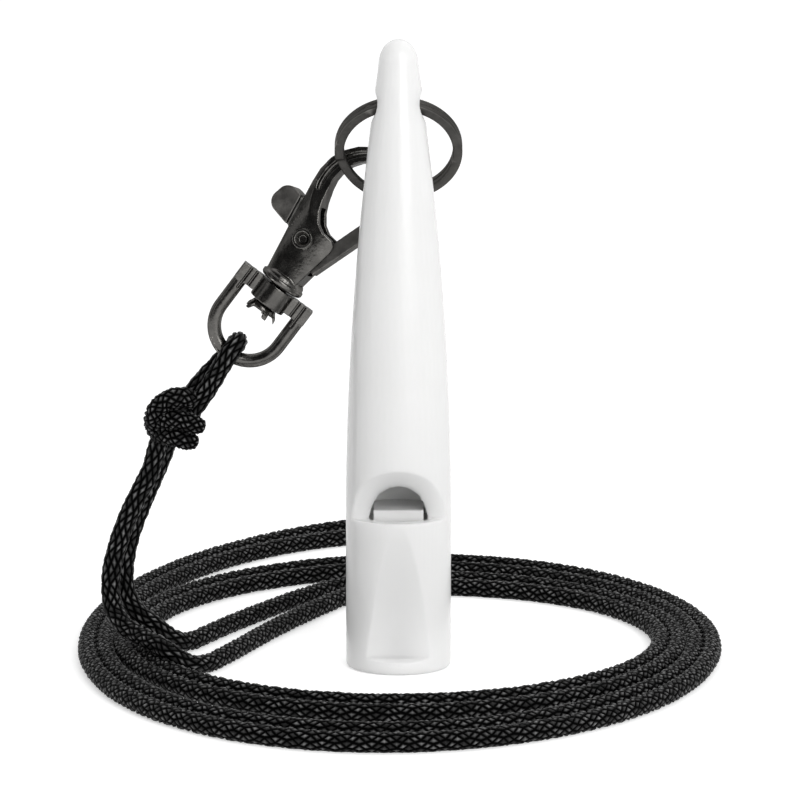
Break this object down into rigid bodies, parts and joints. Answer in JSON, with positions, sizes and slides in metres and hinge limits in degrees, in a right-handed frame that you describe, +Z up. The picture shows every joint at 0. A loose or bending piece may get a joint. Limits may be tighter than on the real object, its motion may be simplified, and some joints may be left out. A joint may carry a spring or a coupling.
{
  "type": "dog whistle on a neck cord",
  "caption": "Slim tapered dog whistle with a window and bite flat, on a split ring, a swivel snap clasp and a doubled, knotted and coiled neck cord.",
  "frame": {"origin": "centre of the whistle's mouth end, on the surface that the whistle and its cord stand on", "axes": "+Z up the whistle from its mouth end to its tip, the window and the bite flat face -Y, +X to the right seen from there"},
  "size_m": [0.0837, 0.1429, 0.0802],
  "materials": {
    "whistle": "glossy white moulded plastic",
    "ring": "satin dark grey plated steel",
    "clasp": "glossy gunmetal die casting",
    "spring": "bright wire",
    "cord": "black braided cord"
  },
  "bodies": {
    "lanyard": {"cord_coil": "cord", "drop_strand_back": "cord", "drop_strand_front": "cord", "stopper_knot": "cord", "eye_loop": "cord"},
    "eye": {"swivel_eye": "clasp"},
    "hook": {"clasp_hook": "clasp", "trigger_rivet": "clasp", "trigger_spring": "spring"},
    "trigger": {"trigger_lever": "clasp"},
    "ring": {"split_ring": "ring"},
    "whistle": {"whistle_body": "whistle", "fipple_plug": "whistle"}
  },
  "joints": [
    {"name": "eye_swing", "type": "hinge", "parent": "lanyard", "child": "eye", "pos_m": [-0.02186, 0.0081, 0.0391], "axis": [0.7986, 0, -0.6018], "range_deg": [-20, 30]},
    {"name": "swivel_turn", "type": "hinge", "parent": "eye", "child": "hook", "pos_m": [-0.0147, 0.0081, 0.0486], "axis": [0.6018, 0, 0.7986], "continuous": true},
    {"name": "trigger_pivot", "type": "hinge", "parent": "hook", "child": "trigger", "pos_m": [-0.01168, 0.00832, 0.05371], "axis": [-0.2468, -0.9511, 0.186], "range_deg": [0, 18], "stiffness_Nm_per_rad": 0.004, "springref_deg": -20.05, "deforming": ["trigger_spring"]},
    {"name": "ring_swing", "type": "hinge", "parent": "hook", "child": "ring", "pos_m": [-0.00115, 0.0069, 0.06042], "axis": [-0.2468, -0.9511, 0.186], "range_deg": [0, 18]},
    {"name": "whistle_swing", "type": "hinge", "parent": "ring", "child": "whistle", "pos_m": [0, 0, 0.0716], "axis": [-1, 0, 0], "range_deg": [0, 120]}
  ]
}
